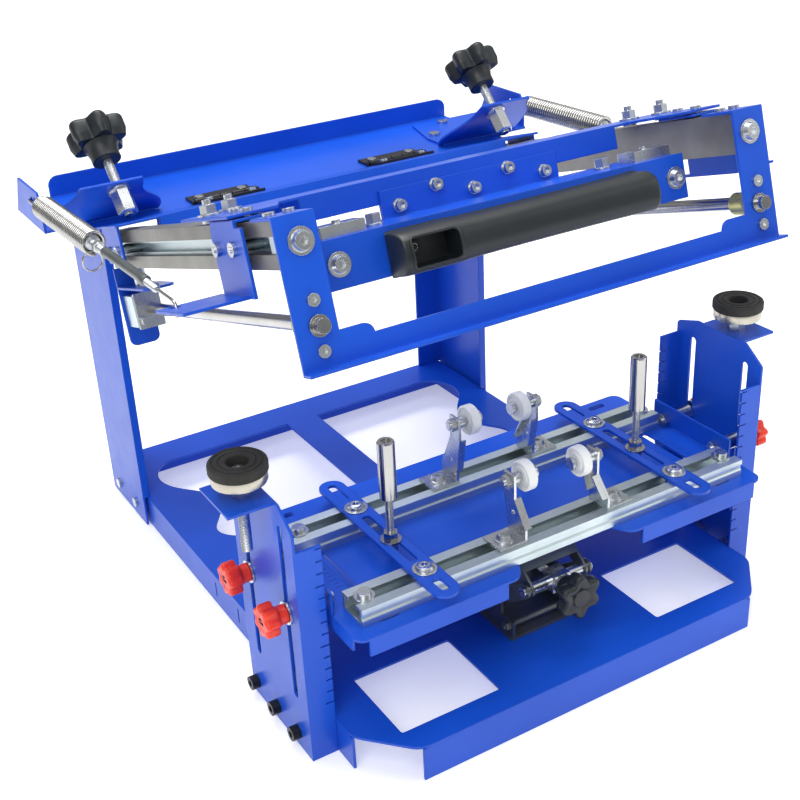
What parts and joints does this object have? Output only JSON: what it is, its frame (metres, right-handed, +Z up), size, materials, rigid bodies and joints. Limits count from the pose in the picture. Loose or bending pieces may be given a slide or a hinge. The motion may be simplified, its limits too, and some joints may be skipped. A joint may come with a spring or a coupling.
{
  "type": "tabletop screen printing press",
  "caption": "Tabletop press for printing on bottles: folded steel base, tilting sprung arm with sliding screen carriage and handle, roller table on a screw jack.",
  "frame": {"origin": "centre of the machine's footprint on the floor", "axes": "+X to the operator's right, +Y to the rear, +Z up; the operator stands at -Y"},
  "size_m": [0.5014, 0.52, 0.4035],
  "materials": {
    "blue_powder": "gloss powder coat",
    "zinc": "bright zinc plate",
    "black_steel": "black oxide",
    "jack_steel": "dark phosphate with pressed ribs",
    "black_plastic": "satin moulded",
    "rubber_pad": "matte",
    "galvanised": "galvanised",
    "gray_rail": "satin gray",
    "bright_rod": "polished steel",
    "yellow_chromate": "yellow chromate",
    "white_nylon": "satin nylon",
    "red_plastic": "moulded orange red"
  },
  "bodies": {
    "frame": {"base_tray": "blue_powder", "rear_columns": "blue_powder", "top_shelf": "blue_powder", "knob_brackets": "blue_powder", "shelf_hinges": "black_steel", "side_bracket_left": "blue_powder", "side_bracket_right": "blue_powder", "frame_screws": "zinc", "bracket_screws": "black_steel", "jack_base": "jack_steel"},
    "foot_left": {"rest_stud_left": "zinc", "rest_pad_left": "rubber_pad"},
    "foot_right": {"rest_stud_right": "zinc", "rest_pad_right": "rubber_pad"},
    "limit_left": {"limit_screw_left": "zinc"},
    "limit_right": {"limit_screw_right": "zinc"},
    "limit_grip_left": {"limit_knob_left": "black_plastic"},
    "limit_grip_right": {"limit_knob_right": "black_plastic"},
    "arm": {"arm_rear_strip": "blue_powder", "hinge_leaves_arm": "black_steel", "slide_members": "galvanised", "cross_beam": "blue_powder", "spring_brackets": "blue_powder", "squeegee_bar": "blue_powder", "pull_handle": "black_plastic", "arm_screws": "zinc"},
    "carriage": {"side_rails": "gray_rail", "carriage_front_plate": "blue_powder", "guide_rods": "bright_rod", "rod_collars": "yellow_chromate", "rod_supports": "galvanised", "rear_plates": "blue_powder", "carriage_fasteners": "zinc"},
    "return_spring_left": {"spring_left": "bright_rod"},
    "return_spring_right": {"spring_right": "bright_rod"},
    "table": {"roller_table": "blue_powder", "slotted_rails": "galvanised", "table_fittings": "zinc", "roller_bracket_left_front": "zinc", "roller_bracket_right_front": "zinc", "roller_bracket_left_rear": "zinc", "roller_bracket_right_rear": "zinc"},
    "cross_strap_left": {"strap_left": "blue_powder"},
    "cross_strap_right": {"strap_right": "blue_powder"},
    "post_left": {"stop_post_left": "bright_rod"},
    "post_right": {"stop_post_right": "bright_rod"},
    "wheel_left_front": {"roller_left_front": "white_nylon"},
    "wheel_right_front": {"roller_right_front": "white_nylon"},
    "wheel_left_rear": {"roller_left_rear": "white_nylon"},
    "wheel_right_rear": {"roller_right_rear": "white_nylon"},
    "lock_left_front": {"lock_knob_left_front": "red_plastic"},
    "lock_left_rear": {"lock_knob_left_rear": "red_plastic"},
    "lock_right_front": {"lock_knob_right_front": "red_plastic"},
    "lock_right_rear": {"lock_knob_right_rear": "red_plastic"},
    "jack_front_lower": {"jack_link_front_lower": "jack_steel"},
    "jack_front_upper": {"jack_link_front_upper": "jack_steel"},
    "jack_rear_lower": {"jack_link_rear_lower": "jack_steel"},
    "jack_rear_upper": {"jack_link_rear_upper": "jack_steel"},
    "jack_nut": {"jack_trunnion": "zinc"},
    "jack_screw": {"jack_knob": "black_plastic"}
  },
  "joints": [
    {"name": "arm_tilt", "type": "hinge", "parent": "frame", "child": "arm", "pos_m": [0, 0.15, 0.3072], "axis": [1, 0, 0], "range_deg": [0, 17.5], "stiffness_Nm_per_rad": 6, "springref_deg": -103.13},
    {"name": "carriage_slide", "type": "slide", "parent": "arm", "child": "carriage", "axis": [0, -0.9563, 0.2924], "range_m": [0, 0.15]},
    {"name": "limit_lift_left", "type": "slide", "parent": "frame", "child": "limit_left", "axis": [0, 0.7071, 0.7071], "range_m": [0, 0.008]},
    {"name": "limit_turn_left", "type": "hinge", "parent": "limit_left", "child": "limit_grip_left", "pos_m": [-0.1845, 0.1324, 0.3374], "axis": [0, 0.7071, 0.7071], "range_deg": [0, 2306]},
    {"name": "foot_height_left", "type": "slide", "parent": "frame", "child": "foot_left", "axis": [0, 0, 1], "range_m": [0, 0.015]},
    {"name": "spring_swing_left", "type": "hinge", "parent": "frame", "child": "return_spring_left", "pos_m": [-0.242, 0.186, 0.327], "axis": [1, 0, 0], "range_deg": [-1, 18]},
    {"name": "strap_slide_left", "type": "slide", "parent": "table", "child": "cross_strap_left", "axis": [1, 0, 0], "range_m": [-0.02, 0.02]},
    {"name": "post_slide_left", "type": "slide", "parent": "cross_strap_left", "child": "post_left", "axis": [0, 1, 0], "range_m": [-0.02, 0.025]},
    {"name": "limit_lift_right", "type": "slide", "parent": "frame", "child": "limit_right", "axis": [0, 0.7071, 0.7071], "range_m": [0, 0.008]},
    {"name": "limit_turn_right", "type": "hinge", "parent": "limit_right", "child": "limit_grip_right", "pos_m": [0.1845, 0.1324, 0.3374], "axis": [0, 0.7071, 0.7071], "range_deg": [0, 2306]},
    {"name": "foot_height_right", "type": "slide", "parent": "frame", "child": "foot_right", "axis": [0, 0, 1], "range_m": [0, 0.015]},
    {"name": "spring_swing_right", "type": "hinge", "parent": "frame", "child": "return_spring_right", "pos_m": [0.242, 0.186, 0.327], "axis": [1, 0, 0], "range_deg": [-1, 18]},
    {"name": "strap_slide_right", "type": "slide", "parent": "table", "child": "cross_strap_right", "axis": [1, 0, 0], "range_m": [-0.02, 0.02]},
    {"name": "post_slide_right", "type": "slide", "parent": "cross_strap_right", "child": "post_right", "axis": [0, 1, 0], "range_m": [-0.02, 0.025]},
    {"name": "wheel_spin_left_front", "type": "hinge", "parent": "table", "child": "wheel_left_front", "pos_m": [-0.022, -0.197, 0.173], "axis": [1, 0, 0], "continuous": true},
    {"name": "lock_turn_left_front", "type": "hinge", "parent": "table", "child": "lock_left_front", "pos_m": [-0.225, -0.181, 0.121], "axis": [1, 0, 0], "continuous": true},
    {"name": "wheel_spin_left_rear", "type": "hinge", "parent": "table", "child": "wheel_left_rear", "pos_m": [-0.016, -0.117, 0.182], "axis": [1, 0, 0], "continuous": true},
    {"name": "lock_turn_left_rear", "type": "hinge", "parent": "table", "child": "lock_left_rear", "pos_m": [-0.225, -0.121, 0.121], "axis": [1, 0, 0], "continuous": true},
    {"name": "wheel_spin_right_front", "type": "hinge", "parent": "table", "child": "wheel_right_front", "pos_m": [0.028, -0.197, 0.168], "axis": [1, 0, 0], "continuous": true},
    {"name": "lock_turn_right_front", "type": "hinge", "parent": "table", "child": "lock_right_front", "pos_m": [0.225, -0.181, 0.121], "axis": [1, 0, 0], "continuous": true},
    {"name": "wheel_spin_right_rear", "type": "hinge", "parent": "table", "child": "wheel_right_rear", "pos_m": [0.031, -0.117, 0.179], "axis": [1, 0, 0], "continuous": true},
    {"name": "lock_turn_right_rear", "type": "hinge", "parent": "table", "child": "lock_right_rear", "pos_m": [0.225, -0.121, 0.121], "axis": [1, 0, 0], "continuous": true},
    {"name": "jack_fold", "type": "hinge", "parent": "frame", "child": "jack_front_lower", "pos_m": [0, -0.169, 0.05], "axis": [1, 0, 0], "range_deg": [-9.7, 16.5]},
    {"name": "jack_front_knee", "type": "hinge", "parent": "jack_front_lower", "child": "jack_front_upper", "pos_m": [0, -0.207, 0.079], "axis": [1, 0, 0], "range_deg": [-33.2, 19.6]},
    {"name": "table_level", "type": "hinge", "parent": "jack_front_upper", "child": "table", "pos_m": [0, -0.169, 0.108], "axis": [1, 0, 0], "range_deg": [-9.8, 16.6]},
    {"name": "jack_rear_fold", "type": "hinge", "parent": "frame", "child": "jack_rear_lower", "pos_m": [0, -0.145, 0.05], "axis": [1, 0, 0], "range_deg": [-16.6, 9.8]},
    {"name": "jack_rear_knee", "type": "hinge", "parent": "jack_rear_lower", "child": "jack_rear_upper", "pos_m": [0, -0.107, 0.079], "axis": [1, 0, 0], "range_deg": [-19.6, 33.2]},
    {"name": "jack_nut_level", "type": "hinge", "parent": "jack_front_lower", "child": "jack_nut", "pos_m": [0, -0.207, 0.079], "axis": [1, 0, 0], "range_deg": [-16.6, 9.8]},
    {"name": "jack_screw_turn", "type": "hinge", "parent": "jack_nut", "child": "jack_screw", "pos_m": [0, -0.207, 0.079], "axis": [0, -1, 0], "continuous": true}
  ],
  "couplings": [
    {"joint": "jack_front_knee", "follows": "jack_fold", "ratio": -2},
    {"joint": "table_level", "follows": "jack_fold", "ratio": 1},
    {"joint": "jack_rear_fold", "follows": "jack_fold", "ratio": -1},
    {"joint": "jack_rear_knee", "follows": "jack_fold", "ratio": 2},
    {"joint": "jack_nut_level", "follows": "jack_fold", "ratio": -1},
    {"joint": "spring_swing_left", "follows": "arm_tilt", "ratio": 0.8757},
    {"joint": "limit_turn_left", "follows": "limit_lift_left", "rad_per_m": 5026.5},
    {"joint": "spring_swing_right", "follows": "arm_tilt", "ratio": 0.8757},
    {"joint": "limit_turn_right", "follows": "limit_lift_right", "rad_per_m": 5026.5}
  ]
}
